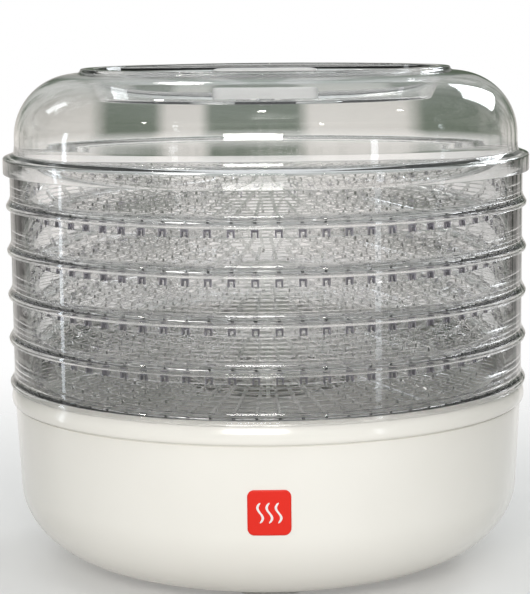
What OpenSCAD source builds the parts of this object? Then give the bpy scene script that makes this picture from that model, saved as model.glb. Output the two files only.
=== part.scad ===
// Round food dehydrator: a white heated base, five clear stacking trays and a
// clear domed lid with a turning vent.
// Units are millimetres. +Z is up, the origin is on the resting plane under the
// centre of the base, and the badge faces -Y.

/* [Base housing] */
// Radius of the flat part under the bowl
bowl_flat_r = 92.4; // [88:0.4:96]
// Radius of the bowl where its curved bottom ends
bowl_side_r = 157; // [155:0.2:158]
// Height of the bowl's curved bottom
bowl_curve_h = 49.6; // [44:0.2:54]
// Radius of the bowl at the seam between the two housings
seam_r = 159.4; // [158.4:0.1:159.8]
// Height of the seam above the resting plane
seam_z = 104.8; // [102:0.2:106]
// Largest radius of the band above the seam
band_r = 161.8; // [160.6:0.1:162.2]
// Wall thickness of the housings
shell_t = 2.5; // [2:0.1:3]
// Radius of the hot air opening in the deck
opening_r = 60; // [56:1:62]
// Height of the feet under the bowl
foot_h = 5; // [4:0.5:8]
// Length of each foot along the rim
foot_w = 37.5; // [30:0.5:40]
// Depth of each foot towards the centre
foot_d = 12; // [10:0.5:13]
// Radius of the bore that takes the mains cord
cord_bore_r = 3.4; // [3:0.1:4]
// Width of the badge
badge_w = 24.8; // [18:0.2:30]
// Height of the badge
badge_h = 26.4; // [18:0.2:27]

/* [Trays] */
// Number of trays in the stack
tray_count = 5; // [1:5]
// Height from one tray to the next
tray_pitch = 27.5; // [24:0.5:32]
// Outer radius of a tray's wall
wall_r = 159.8; // [159.4:0.1:160]
// Outer radius of the collar at a tray's lower edge
collar_r = 162.5; // [162.2:0.1:163]
// Thickness of a tray's wall
wall_t = 1.8; // [1.5:0.1:2.2]
// Thickness of a tray's lattice floor
floor_t = 1.8; // [1.4:0.1:2.4]
// Number of rings in the lattice floor
lattice_rings = 5; // [4:7]
// Depth of the foot ring under the floor
foot_ring_h = 8.5; // [6:0.5:10]
// Number of notches around the foot ring
notch_count = 72; // [24:12:72]

/* [Lid] */
// Radius of the lid's skirt
skirt_r = 163.8; // [163.4:0.1:164.4]
// Radius of the dome where it meets the shoulder
dome_r = 157.1; // [156.6:0.1:157.6]
// Radius of the rounded edge of the dome
dome_edge_r = 39; // [34:0.5:41]
// Height of the dome's flat top over the highest tray
dome_h = 52; // [50:0.5:56]
// Thickness of the lid
lid_t = 2; // [1.6:0.1:2.4]
// Radius of the raised ring around the well
ring_r = 115.2; // [110:0.1:115.6]
// Height of the raised ring over the dome
ring_h = 3; // [2:0.1:4]
// Radius of the well's floor
well_r = 101.3; // [94:0.1:102]
// Depth of the well under the raised ring
well_depth = 16.9; // [15:0.1:20]

/* [Vent] */
// Radius of the turning vent disc
vent_r = 88; // [84:0.5:90]
// Number of vent openings
vent_count = 8; // [6:8]
// Angle covered by one vent opening
vent_angle = 20; // [14:1:22]
// Length of the bar that turns the vent
grip_w = 66; // [56:1:70]
// Height of the bar
grip_h = 14; // [6:0.5:14.5]

/* [Hidden] */
$fn = 96;
trays = [for (i = [1:5]) str("tray_", i)];

white = "#f2efe8";
clear = [0.86, 0.88, 0.87, 0.35];
metal = "#b9bcbf";
mica = "#b49a72";
ceramic = "#e8e2d4";
cut = 1;

// Vertical free play between parts that only rest on each other
rest_gap = 0.3;

// Bowl
curve_steps = 20;
curve_top_z = foot_h + bowl_curve_h;
inner_floor_z = foot_h + shell_t;
slot_count = 24;
slot_w = 4;
slot_in_r = 26;
slot_out_r = 52;

// Screw towers, which clamp the reflector between the two housings
tower_at = 84;
tower_r = 6.5;
tower_top_z = 70;
well_bore_r = 4.3;
shelf_z = 58;
screw_r = 2;
screw_clear_r = 2.1;
screw_head_r = 3.9;
screw_head_h = 4;
screw_h = 28;
screw_hole_top_z = 90;
flange_t = 1;

// Deck, with the tongue that stands inside the bowl's rim
tongue_fit = 0.5;
deck_t = 3;
deck_z = 103;
deck_top_z = deck_z + deck_t;
rebate_r = 64.2;
guard_r = 64;
guard_t = 1.5;
band_top_z = stack_z() - rest_gap;

// Heater
dish_floor_z = 50;
dish_floor_r = 58;
dish_wall_r = 68;
dish_r = 92;
board_w = 100;
board_h = 28;
board_t = 1.6;
board_z = dish_floor_z + flange_t;
tab_at = 34;
tab_w = 6;
tab_h = 3;
coil_r = 2.5;
coil_z = 76;
coil_rings = [18, 30, 42];
coil_gap = 10;
coil_tail_r = 1;
coil_fit = 0.1;
tail_low_z = 44;
tail_in = [coil_rings[0] * cos(coil_gap), coil_rings[0] * sin(coil_gap)];
tail_out = [coil_rings[2] * cos(coil_gap), -coil_rings[2] * sin(coil_gap)];
bush_neck_r = 2;
bush_r = 4.5;
bush_h = 1.5;
thermostat_at = [28, 20];
thermostat_r = 8.5;
blade_gap = 10;
fuse_at = [-28, 20, 47.5];
fuse_len = 12;
fuse_wire_len = 6;
block_at = [0, 66];
block_size = [36, 16, 14];
pole_pitch = 12;
lead_r = 1.2;
lead_sides = 8;
lead_side = [0.3, 0.9, 0.2];
lead_steps = 4;

// Corners of the routes of the four leads inside the base
live_route = [[12, 58, 14], [12, 46, 14], [33, 24, 18], [33, 20, 34]];
link_route = [[23, 20, 34], [22, 21, 24], [-2, 22, 40], [-16, 20, 47.5]];
fuse_route = [
    [-40, 20, 47.5], [-48, 14, 40], [-20, -4, 34],
    [tail_in[0], tail_in[1], 36], [tail_in[0], tail_in[1], tail_low_z]
];
neutral_route = [
    [-12, 58, 14], [-12, 40, 14], [-14, 0, 20],
    [tail_out[0], tail_out[1], 24], [tail_out[0], tail_out[1], tail_low_z]
];

// Cord gland in the back of the bowl
gland_z = 62;
gland_neck_r = 6.5;
gland_flange_r = 10;
gland_back_y = 160;
gland_flange_y = 157.9;
gland_lip_y = 153.9;
gland_fit = 0.1;
gland_inner_y = 151.5;

// Feet
foot_at = 86;
peg_r = 2;
peg_at = 12;

// Badge
badge_t = 0.8;
badge_corner_r = 4;
badge_low_z = 53.6;

// Trays
seat_in_r = 160.2;
collar_drop = 2.5;
flare_h = 4;
hub_r = 14;
rib_w = 2;
foot_ring_r = 153.5;
foot_ring_t = 1.5;
notch_w = 3.2;
notch_h = 2.3;

// Lid
stack_top_z = stack_z() + tray_count * tray_pitch;
skirt_low_z = stack_top_z - 8.6;
shoulder_z = stack_top_z + 1.3;
shoulder_top_z = stack_top_z + 3.7;
arc_z = stack_top_z + dome_h - dome_edge_r;
arc_r = dome_r - 0.6 - dome_edge_r;
plateau_z = stack_top_z + dome_h;
ring_top_z = plateau_z + ring_h;
well_z = ring_top_z - well_depth;
well_top_r = well_r + 5.2;

// Vent
slot_r0 = 34;
slot_r1 = 76;
pivot_r = 4;
pivot_clear_r = 4.06;
groove_r = 3.2;
disc_t = 2;
disc_z = well_z + rest_gap;
lug_r = 84;
lug_w = 4;
lug_angle = 1.4;
vent_turn = 22.5;
grip_d = 12;
grip_z = disc_z + disc_t;
clip_t = 1.2;
clip_top_z = well_z - lid_t - rest_gap;
clip_r = 8;

// Height at which the lowest tray rests on the base
function stack_z() = 119.5;

// Radius of the bowl's outer side at height z on its straight part
function side_r(z) = bowl_side_r + (seam_r - bowl_side_r) * (z - curve_top_z) / (seam_z - curve_top_z);

// Points of the bowl's curved bottom, drawn in by inset
function bowl_curve(inset) = [
    for (i = [0:curve_steps])
        let (a = 90 * i / curve_steps)
            [
                bowl_flat_r + (bowl_side_r - inset - bowl_flat_r) * sin(a),
                curve_top_z - (bowl_curve_h - inset) * cos(a)
            ]
];

// Copies its child to four places around the axis, the first at angle start
module four(start) {
    for (i = [0:3]) rotate(start + 90 * i) children();
}

// Solid of revolution of an outline given as radius and height points
module turned(points) {
    rotate_extrude() polygon(points);
}

// Upright sector from radius r0 to r1, centred on the X axis
module sector(r0, r1, angle, h) {
    rotate(-angle / 2) rotate_extrude(angle = angle) translate([r0, 0]) square([r1 - r0, h]);
}

// Flat plate with rounded corners, centred on the origin
module rounded_plate(w, h, t, r) {
    linear_extrude(t) {
        square([w - 2 * r, h], center = true);
        square([w, h - 2 * r], center = true);
        for (x = [-1, 1], y = [-1, 1]) translate([x * (w / 2 - r), y * (h / 2 - r)]) circle(r);
    }
}

// Round rod from point a to point b
module rod(a, b, r) {
    span = b - a;
    translate(a) rotate([0, acos(span[2] / norm(span)), atan2(span[1], span[0])]) cylinder(r = r, h = norm(span));
}

// Point at share t of the bend from a to c that leans towards b
function bend(a, b, c, t) = (1 - t) * (1 - t) * a + 2 * t * (1 - t) * b + t * t * c;

// Smooth curve from the first corner of a route to the last
function curve(corners) =
    let (last = len(corners) - 1)
        concat(
            [
                for (i = [1:last - 1], k = [0:lead_steps - 1])
                    let (
                        a = i == 1 ? corners[0] : (corners[i - 1] + corners[i]) / 2,
                        c = i == last - 1 ? corners[last] : (corners[i] + corners[i + 1]) / 2
                    )
                        bend(a, corners[i], c, k / lead_steps)
            ],
            [corners[last]]
        );

// Direction of a route at point i
function heading(route, i) =
    let (step = route[min(i + 1, len(route) - 1)] - route[max(i - 1, 0)])
        step / norm(step);

// Insulated lead: a tube swept along the smooth curve of a route
module lead(corners) {
    route = curve(corners);
    count = len(route);
    points = [
        for (i = [0:count - 1])
            let (
                along = heading(route, i),
                side = cross(along, lead_side) / norm(cross(along, lead_side)),
                up = cross(side, along)
            )
                for (k = [0:lead_sides - 1])
                    route[i] + lead_r * (cos(k * 360 / lead_sides) * side + sin(k * 360 / lead_sides) * up)
    ];
    walls = [
        for (i = [0:count - 2], k = [0:lead_sides - 1])
            let (a = i * lead_sides + k, b = i * lead_sides + (k + 1) % lead_sides)
                for (face = [[a, b, a + lead_sides], [b, b + lead_sides, a + lead_sides]]) face
    ];
    near = [for (k = [lead_sides - 1:-1:0]) k];
    far = [for (k = [0:lead_sides - 1]) (count - 1) * lead_sides + k];
    polyhedron(points, concat([near], walls, [far]));
}

module base_bowl() {
    color(white) difference() {
        union() {
            turned(concat(
                [[0, foot_h]],
                bowl_curve(0),
                [[seam_r, seam_z - 0.4], [seam_r - 0.4, seam_z], [seam_r - shell_t, seam_z]],
                [for (i = [curve_steps:-1:0]) bowl_curve(shell_t)[i]],
                [[0, inner_floor_z]]
            ));
            four(45) translate([tower_at, 0, foot_h]) cylinder(r = tower_r, h = tower_top_z - foot_h);
        }
        four(45) translate([tower_at, 0, foot_h - cut]) cylinder(r = well_bore_r, h = shelf_z - foot_h + cut);
        four(45) translate([tower_at, 0, 0]) cylinder(r = screw_clear_r, h = tower_top_z + cut);
        four(0) for (y = [-peg_at, peg_at])
            translate([foot_at, y, foot_h - cut]) cylinder(r = peg_r, h = shell_t + 2 * cut);
        for (i = [0:slot_count - 1]) rotate((i + 0.5) * 360 / slot_count)
            translate([slot_in_r, -slot_w / 2, foot_h - cut]) cube([slot_out_r - slot_in_r, slot_w, shell_t + 2 * cut]);
        translate([0, seam_r, gland_z]) rotate([90, 0, 0]) cylinder(r = gland_neck_r + gland_fit, h = 20);
    }
}

module top_housing() {
    inner_r = seam_r - shell_t;
    tongue_r = inner_r - tongue_fit;
    color(white) difference() {
        union() {
            turned([
                [opening_r, deck_z], [tongue_r - shell_t, deck_z], [tongue_r - shell_t, seam_z - 5],
                [tongue_r, seam_z - 5], [tongue_r, seam_z], [seam_r - 0.4, seam_z],
                [seam_r + 0.2, seam_z + 0.6], [band_r - 0.7, seam_z + 1.6], [band_r, seam_z + 4],
                [band_r - 0.3, seam_z + 6.6], [band_r - 1.2, seam_z + 9.4], [seam_r + 0.2, seam_z + 12],
                [seam_r, band_top_z - 0.5], [seam_r - 0.5, band_top_z], [inner_r + 0.4, band_top_z],
                [inner_r - 0.2, deck_top_z + 1.2], [inner_r - 1.4, deck_top_z], [opening_r, deck_top_z]
            ]);
            four(45) translate([tower_at, 0, tower_top_z + flange_t])
                cylinder(r = tower_r - 0.5, h = deck_z - tower_top_z - flange_t + cut);
        }
        translate([0, 0, deck_top_z - guard_t]) cylinder(r = rebate_r, h = guard_t + cut);
        four(45) translate([tower_at, 0, tower_top_z]) cylinder(r = screw_r, h = screw_hole_top_z - tower_top_z);
    }
}

// Flat grille over the heater, held in the deck's rebate by three hooks
module heater_guard() {
    ring_step = 8;
    spoke_w = 2.4;
    hook_h = 4.5;
    color(white) translate([0, 0, deck_top_z - guard_t]) {
        linear_extrude(guard_t) {
            difference() {
                circle(guard_r);
                circle(guard_r - 6);
            }
            for (r = [10:ring_step:50]) difference() {
                circle(r + spoke_w / 2);
                circle(r - spoke_w / 2);
            }
            circle(4);
            for (a = [0:30:150]) rotate(a) square([2 * guard_r - 8, spoke_w], center = true);
        }
        for (a = [90, 210, 330]) rotate(a) {
            translate([opening_r - 2.3, -4, -hook_h]) cube([2, 8, hook_h + 0.5]);
            translate([opening_r - 2.3, -4, -hook_h]) cube([3.5, 8, hook_h - deck_t + guard_t - 0.2]);
        }
    }
}

// Aluminium pan under the coil, with its rim clamped on the screw towers
module reflector_dish() {
    color(metal) difference() {
        turned([
            [0, dish_floor_z], [dish_floor_r, dish_floor_z], [dish_wall_r, tower_top_z],
            [dish_r, tower_top_z], [dish_r, tower_top_z + flange_t], [dish_wall_r - 0.7, tower_top_z + flange_t],
            [dish_floor_r - 0.7, board_z], [0, board_z]
        ]);
        four(45) translate([tower_at, 0, tower_top_z - cut]) cylinder(r = screw_clear_r, h = flange_t + 2 * cut);
        for (a = [7.5:15:360]) rotate(a)
            translate([76, 0, tower_top_z - cut]) cylinder(r = 3.5, h = flange_t + 2 * cut);
        for (a = [22.5:45:360]) rotate(a)
            translate([48, 0, dish_floor_z - cut]) cylinder(r = 4, h = flange_t + 2 * cut);
        four(0) translate([tab_at - tab_w / 2, -board_t / 2, dish_floor_z - cut])
            cube([tab_w, board_t, flange_t + 2 * cut]);
        for (p = [tail_in, tail_out]) translate([p[0], p[1], dish_floor_z - cut])
            cylinder(r = bush_neck_r, h = flange_t + 2 * cut);
    }
}

// One of the two crossed boards that carry the coil, along X, slotted from z0 to z1
module mica_board(z0, z1) {
    color(mica) difference() {
        union() {
            translate([-board_w / 2, -board_t / 2, board_z]) cube([board_w, board_t, board_h]);
            for (x = [-tab_at, tab_at]) translate([x - tab_w / 2, -board_t / 2, board_z - tab_h])
                cube([tab_w, board_t, tab_h + cut]);
        }
        translate([-board_t / 2, -cut, z0]) cube([board_t, 2 * cut, z1 - z0]);
        for (r = coil_rings, s = [-1, 1])
            translate([s * r - coil_r - coil_fit, -cut, coil_z - coil_r - coil_fit])
                cube([2 * (coil_r + coil_fit), 2 * cut, 2 * board_h]);
    }
}

module mica_board_long() {
    mica_board(board_z + board_h / 2, board_z + board_h + cut);
}

module mica_board_cross() {
    rotate(90) mica_board(board_z - cut, board_z + board_h / 2);
}

// Coiled resistance wire in three rings, joined in series, with its two tails
module heater_coil() {
    color(metal) {
        for (r = coil_rings) rotate(coil_gap) rotate_extrude(angle = 360 - 2 * coil_gap)
            translate([r, coil_z]) circle(coil_r);
        for (step = [[0, -coil_gap], [1, coil_gap]]) rotate(step[1])
            rod([coil_rings[step[0]], 0, coil_z], [coil_rings[step[0] + 1], 0, coil_z], coil_tail_r);
        for (p = [tail_in, tail_out]) translate([p[0], p[1], tail_low_z])
            cylinder(r = coil_tail_r, h = coil_z - tail_low_z);
    }
}

// Insulators where the coil's tails pass through the pan
module ceramic_bushes() {
    color(ceramic) for (p = [tail_in, tail_out]) translate([p[0], p[1], 0]) difference() {
        union() {
            translate([0, 0, dish_floor_z - bush_h]) cylinder(r = bush_r, h = bush_h);
            translate([0, 0, dish_floor_z - bush_h]) cylinder(r = bush_neck_r, h = 2 * bush_h + flange_t);
        }
        translate([0, 0, dish_floor_z - 5]) cylinder(r = coil_tail_r + 0.05, h = 12);
    }
}

// Disc thermostat with two blades
module thermostat() {
    color("#2f2f31") translate([thermostat_at[0], thermostat_at[1], 0]) {
        translate([0, 0, dish_floor_z - 8]) cylinder(r = thermostat_r, h = 8);
        translate([0, 0, dish_floor_z - 10]) cylinder(r = thermostat_r - 2, h = 3);
        for (x = [-blade_gap / 2, blade_gap / 2]) translate([x - 2.4, -0.4, 34]) cube([4.8, 0.8, 7]);
    }
}

module thermal_fuse() {
    color("#d8d3c6") translate(fuse_at) rotate([0, 90, 0]) {
        translate([0, 0, -fuse_len / 2]) cylinder(r = 2, h = fuse_len);
        translate([0, 0, -fuse_len / 2 - fuse_wire_len]) cylinder(r = 0.5, h = fuse_len + 2 * fuse_wire_len);
    }
}

// Three-pole block on the floor of the bowl
module terminal_block() {
    color(ceramic) translate([block_at[0], block_at[1], inner_floor_z]) difference() {
        translate([-block_size[0] / 2, -block_size[1] / 2, 0]) cube(block_size);
        for (x = [-pole_pitch, 0, pole_pitch]) {
            translate([x, 0, 8]) cylinder(r = 2.6, h = block_size[2]);
            translate([x + pole_pitch / 2 - 0.75, -block_size[1], 4])
                cube([1.5, 2 * block_size[1], x < pole_pitch ? block_size[2] : 0.01]);
        }
    }
}

module live_lead() {
    color("#7a4a2b") lead(live_route);
}

module link_lead() {
    color("#c9c5bb") lead(link_route);
}

module fuse_lead() {
    color("#c9c5bb") lead(fuse_route);
}

module neutral_lead() {
    color("#3d5f8f") lead(neutral_route);
}

// Flanged bush that the mains cord enters through
module cord_gland() {
    color("#e6e3dc") translate([0, 0, gland_z]) rotate([-90, 0, 0]) difference() {
        turned([
            [0, gland_inner_y], [gland_neck_r + 1.6, gland_inner_y], [gland_neck_r + 2, gland_lip_y],
            [gland_neck_r, gland_lip_y], [gland_neck_r, gland_flange_y], [gland_flange_r, gland_flange_y],
            [gland_flange_r, gland_back_y - 1], [gland_flange_r - 1, gland_back_y], [0, gland_back_y]
        ]);
        translate([0, 0, gland_inner_y - cut]) cylinder(r = cord_bore_r, h = gland_back_y - gland_inner_y + 2 * cut);
    }
}

module housing_screws() {
    color(metal) four(45) translate([tower_at, 0, 0]) difference() {
        union() {
            translate([0, 0, shelf_z - screw_head_h]) cylinder(r = screw_head_r, h = screw_head_h);
            translate([0, 0, shelf_z]) cylinder(r = screw_r, h = screw_h);
        }
        for (a = [0, 90]) rotate(a) translate([-2, -0.4, shelf_z - screw_head_h - cut]) cube([4, 0.8, 2.2 + cut]);
    }
}

// Oblong foot with two pegs, at the end of the X axis
module foot() {
    round_r = foot_d / 2;
    color("#c9c9c6") translate([foot_at, 0, 0]) {
        linear_extrude(foot_h) {
            square([foot_d, foot_w - foot_d], center = true);
            for (y = [-1, 1]) translate([0, y * (foot_w / 2 - round_r)]) circle(round_r);
        }
        for (y = [-peg_at, peg_at]) translate([0, y, foot_h - cut]) cylinder(r = peg_r, h = shell_t + 2 + cut);
    }
}

module foot_front() {
    rotate(270) foot();
}

module foot_left() {
    rotate(180) foot();
}

module foot_back() {
    rotate(90) foot();
}

module foot_right() {
    rotate(0) foot();
}

// Plain rounded badge that follows the bowl's front
module badge() {
    top_z = badge_low_z + badge_h;
    color("#d8281f") intersection() {
        turned([
            [side_r(badge_low_z), badge_low_z], [side_r(badge_low_z) + badge_t, badge_low_z],
            [side_r(top_z) + badge_t, top_z], [side_r(top_z), top_z]
        ]);
        translate([0, -seam_r / 2, badge_low_z + badge_h / 2]) rotate([90, 0, 0])
            rounded_plate(badge_w, badge_h, seam_r, badge_corner_r);
    }
}

// Flat lattice: rings joined by ribs, twice as many ribs outside as inside
module lattice() {
    step = (wall_r - hub_r) / lattice_rings;
    linear_extrude(floor_t) {
        circle(hub_r);
        for (i = [1:lattice_rings - 1]) difference() {
            circle(hub_r + i * step + rib_w / 2);
            circle(hub_r + i * step - rib_w / 2);
        }
        for (a = [0:15:165]) rotate(a) square([2 * wall_r - 4, rib_w], center = true);
        for (a = [7.5:15:360]) rotate(a) translate([hub_r + 2 * step, -rib_w / 2])
            square([wall_r - hub_r - 2 * step - 2, rib_w]);
    }
}

// Tray number i from the top
module tray(i) {
    low = stack_z() + (tray_count - i) * tray_pitch;
    top = tray_pitch - rest_gap;
    color(clear) translate([0, 0, low]) {
        turned([
            [foot_ring_r - foot_ring_t - 4, 0], [seat_in_r, 0], [seat_in_r, -collar_drop],
            [collar_r - 0.6, -collar_drop], [collar_r, -1], [collar_r - 0.9, 0.6], [wall_r + 0.5, flare_h - 1.4],
            [wall_r, flare_h], [wall_r, top - 0.4], [wall_r - 0.4, top], [wall_r - wall_t, top],
            [wall_r - wall_t, floor_t + 1], [wall_r - wall_t - 1, floor_t], [foot_ring_r - foot_ring_t - 4, floor_t]
        ]);
        lattice();
        difference() {
            translate([0, 0, -foot_ring_h]) linear_extrude(foot_ring_h + 0.5) difference() {
                circle(foot_ring_r);
                circle(foot_ring_r - foot_ring_t);
            }
            for (n = [0:notch_count - 1]) rotate(n * 360 / notch_count)
                translate([foot_ring_r - foot_ring_t - cut, -notch_w / 2, -foot_ring_h - cut])
                    cube([foot_ring_t + 2 * cut, notch_w, notch_h + cut]);
        }
    }
}

// Evenly spaced sector openings of the vent
module vent_slots(z) {
    for (i = [0:vent_count - 1]) rotate((i + 0.5) * 360 / vent_count)
        translate([0, 0, z - cut]) sector(slot_r0, slot_r1, vent_angle, lid_t + disc_t);
}

// Outline of the rounded edge of the dome, from radius r1 of the arc to r0
module dome_edge(r0, r1) {
    translate([arc_r, arc_z]) intersection() {
        difference() {
            circle(r1);
            circle(r0);
        }
        square(2 * r1);
    }
}

module lid() {
    color(clear) difference() {
        union() {
            rotate_extrude() {
                dome_edge(dome_edge_r - lid_t, dome_edge_r);
                polygon([
                    [skirt_r - lid_t, skirt_low_z], [skirt_r - 0.4, skirt_low_z], [skirt_r, skirt_low_z + 0.4],
                    [skirt_r, shoulder_z - 0.5], [skirt_r - 0.5, shoulder_z], [dome_r, shoulder_top_z],
                    [arc_r + dome_edge_r, arc_z], [arc_r + dome_edge_r - lid_t, arc_z],
                    [dome_r - lid_t - 0.3, stack_top_z], [skirt_r - lid_t, stack_top_z]
                ]);
                polygon([
                    [arc_r, plateau_z], [ring_r + 1.7, plateau_z], [ring_r, plateau_z + 1.2],
                    [ring_r - 0.6, ring_top_z], [well_top_r + 1, ring_top_z], [well_top_r, ring_top_z - 0.8],
                    [well_r, well_z], [0, well_z], [0, well_z - lid_t], [well_r + 1.7, well_z - lid_t],
                    [well_top_r + 1.5, plateau_z - lid_t - 1], [well_top_r + 3.5, plateau_z - lid_t],
                    [arc_r, plateau_z - lid_t]
                ]);
            }
            translate([0, 0, well_z - 0.5]) rotate(90) sector(lug_r, lug_r + lug_w, 2 * lug_angle, disc_t + 0.7);
        }
        translate([0, 0, well_z - lid_t - cut]) cylinder(r = pivot_clear_r, h = lid_t + 2 * cut);
        vent_slots(well_z - lid_t);
    }
}

// Slotted disc, shown with the vent open, with a stop notch in its rim
module vent_disc() {
    color(clear) difference() {
        translate([0, 0, disc_z]) cylinder(r = vent_r, h = disc_t);
        translate([0, 0, disc_z - cut]) cylinder(r = pivot_r, h = disc_t + 2 * cut);
        vent_slots(disc_z);
        translate([0, 0, disc_z - cut]) rotate(90 - vent_turn / 2)
            sector(lug_r - 1.5, vent_r + 2, vent_turn + 2 * lug_angle + 1.2, disc_t + 2 * cut);
    }
}

// Bar that turns the vent, with the pivot under it
module vent_grip() {
    tip_h = 1.3;
    color([0.93, 0.94, 0.93, 0.8]) {
        translate([0, 0, grip_z]) rounded_plate(grip_w, grip_d, grip_h - 1.2, 5);
        translate([0, 0, grip_z + grip_h - 1.2]) rounded_plate(grip_w - 2.4, grip_d - 2.4, 1.2, 4.5);
        translate([0, 0, clip_top_z]) cylinder(r = pivot_r, h = grip_z - clip_top_z + 0.5);
        translate([0, 0, clip_top_z - clip_t]) cylinder(r = groove_r, h = clip_t + 0.5);
        translate([0, 0, clip_top_z - clip_t - tip_h]) cylinder(r = pivot_r - 0.2, h = tip_h);
    }
}

// Split clip in the groove of the pivot
module vent_clip() {
    color(metal) translate([0, 0, clip_top_z - clip_t]) difference() {
        cylinder(r = clip_r, h = clip_t);
        translate([0, 0, -cut]) cylinder(r = groove_r, h = clip_t + 2 * cut);
        translate([-1.5, 0, -cut]) cube([3, 2 * clip_r, clip_t + 2 * cut]);
    }
}

base_bowl();
top_housing();
heater_guard();
reflector_dish();
mica_board_long();
mica_board_cross();
heater_coil();
ceramic_bushes();
thermostat();
thermal_fuse();
terminal_block();
live_lead();
link_lead();
fuse_lead();
neutral_lead();
cord_gland();
housing_screws();
foot_front();
foot_left();
foot_back();
foot_right();
badge();
for (i = [1:tray_count]) tray(i);
lid();
vent_disc();
vent_grip();
vent_clip();
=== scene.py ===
"""Looks of the round food dehydrator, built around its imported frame.

Every length is in metres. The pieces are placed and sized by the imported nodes' own boxes. Walls, roundings,
openings and small details are named here.
"""
import math

import bmesh
import bpy
from mathutils import Matrix, Vector


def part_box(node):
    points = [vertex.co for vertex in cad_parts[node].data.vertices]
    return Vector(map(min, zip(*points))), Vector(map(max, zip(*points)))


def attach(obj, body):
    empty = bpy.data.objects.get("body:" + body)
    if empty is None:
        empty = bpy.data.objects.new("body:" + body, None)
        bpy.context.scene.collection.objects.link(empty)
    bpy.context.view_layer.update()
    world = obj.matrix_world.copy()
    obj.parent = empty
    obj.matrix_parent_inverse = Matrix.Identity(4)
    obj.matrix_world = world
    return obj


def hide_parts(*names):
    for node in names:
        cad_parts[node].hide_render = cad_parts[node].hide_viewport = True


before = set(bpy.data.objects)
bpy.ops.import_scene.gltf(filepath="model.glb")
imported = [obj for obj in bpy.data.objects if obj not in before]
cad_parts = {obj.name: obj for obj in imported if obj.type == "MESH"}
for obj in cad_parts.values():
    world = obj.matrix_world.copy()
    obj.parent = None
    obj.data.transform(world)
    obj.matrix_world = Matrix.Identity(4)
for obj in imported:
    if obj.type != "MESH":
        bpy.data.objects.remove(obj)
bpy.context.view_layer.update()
MM = 0.001
TURN = 2 * math.pi

# ---------------------------------------------------------------- frame sizes

BOWL_LOW, BOWL_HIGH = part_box("base_bowl")
DECK_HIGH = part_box("top_housing")[1]
TRAY_LOW, TRAY_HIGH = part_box("tray_5")
LID_LOW, LID_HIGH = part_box("lid")
DISC_LOW, DISC_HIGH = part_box("vent_disc")
GRIP_LOW, GRIP_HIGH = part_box("vent_grip")
BADGE_LOW, BADGE_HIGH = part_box("badge")
COIL_LOW, COIL_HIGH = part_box("heater_coil")

SEAM_R = BOWL_HIGH.x
SEAM_Z = BOWL_HIGH.z
BOWL_Z = BOWL_LOW.z
BAND_R = DECK_HIGH.x
BAND_TOP = DECK_HIGH.z
TRAY_COUNT = 5
COLLAR_R = TRAY_HIGH.x
FOOT_RING_H = 8.5 * MM
SEAT_Z = TRAY_LOW.z + FOOT_RING_H
TRAY_H = TRAY_HIGH.z - SEAT_Z
TRAY_PITCH = (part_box("tray_1")[0].z - TRAY_LOW.z) / (TRAY_COUNT - 1)
STACK_TOP = SEAT_Z + TRAY_COUNT * TRAY_PITCH
SKIRT_R = LID_HIGH.x
WALL_R = COLLAR_R - 2.7 * MM
WALL_T = 1.8 * MM
FLOOR_T = 1.8 * MM
LID_T = 2 * MM

# Columns that every turned shape is divided into, fine enough to look round
COLUMNS = 288
NOTCHES = 72
PER_NOTCH = COLUMNS // NOTCHES

# Edges that meet at more than this many degrees are drawn sharp
SHARP = 30


# ---------------------------------------------------------------- mesh making

class Shape:
    """Points and faces, with points at the same place kept as one."""

    def __init__(self):
        self.points = []
        self.faces = []
        self.index = {}

    def point(self, co):
        key = tuple(round(c * 1e7) for c in co)
        if key not in self.index:
            self.index[key] = len(self.points)
            self.points.append(tuple(co))
        return self.index[key]

    def face(self, corners):
        ids = []
        for co in corners:
            i = self.point(co)
            if i not in ids:
                ids.append(i)
        if len(ids) > 2:
            self.faces.append(ids)

    def build(self, name, material, smooth=SHARP):
        mesh = bpy.data.meshes.new(name)
        mesh.from_pydata(self.points, [], self.faces)
        bm = bmesh.new()
        bm.from_mesh(mesh)
        bmesh.ops.recalc_face_normals(bm, faces=bm.faces)
        bm.to_mesh(mesh)
        bm.free()
        mesh.shade_smooth()
        mesh.set_sharp_from_angle(angle=math.radians(smooth))
        mesh.materials.append(material)
        piece = bpy.data.objects.new(name, mesh)
        bpy.context.scene.collection.objects.link(piece)
        return piece


def even_angle(k, r):
    """Angle of column edge k where all columns are alike."""
    return TURN * k / COLUMNS


def around(r, angle, z, centre=(0, 0)):
    return (centre[0] + r * math.cos(angle), centre[1] + r * math.sin(angle), z)


def soften(corners, closed=True):
    """Outline of (radius, height, rounding) corners with each corner rounded."""
    steps = 3
    count = len(corners)
    outline = []
    for i, (r, z, rounding) in enumerate(corners):
        here = Vector((r, z))
        if rounding == 0 or (not closed and i in (0, count - 1)):
            outline.append(here)
            continue
        before = Vector(corners[i - 1][:2]) - here
        after = Vector(corners[(i + 1) % count][:2]) - here
        reach = min(rounding, 0.48 * before.length, 0.48 * after.length)
        a = here + before.normalized() * reach
        b = here + after.normalized() * reach
        for s in range(steps + 1):
            t = s / steps
            outline.append(a.lerp(here, t).lerp(here.lerp(b, t), t))
    return outline


def arc(centre_r, centre_z, radius, start, end, steps):
    """Corners along an arc, from start to end in degrees."""
    angles = [math.radians(start + (end - start) * s / steps) for s in range(steps + 1)]
    return [(centre_r + radius * math.cos(a), centre_z + radius * math.sin(a), 0) for a in angles]


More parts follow.
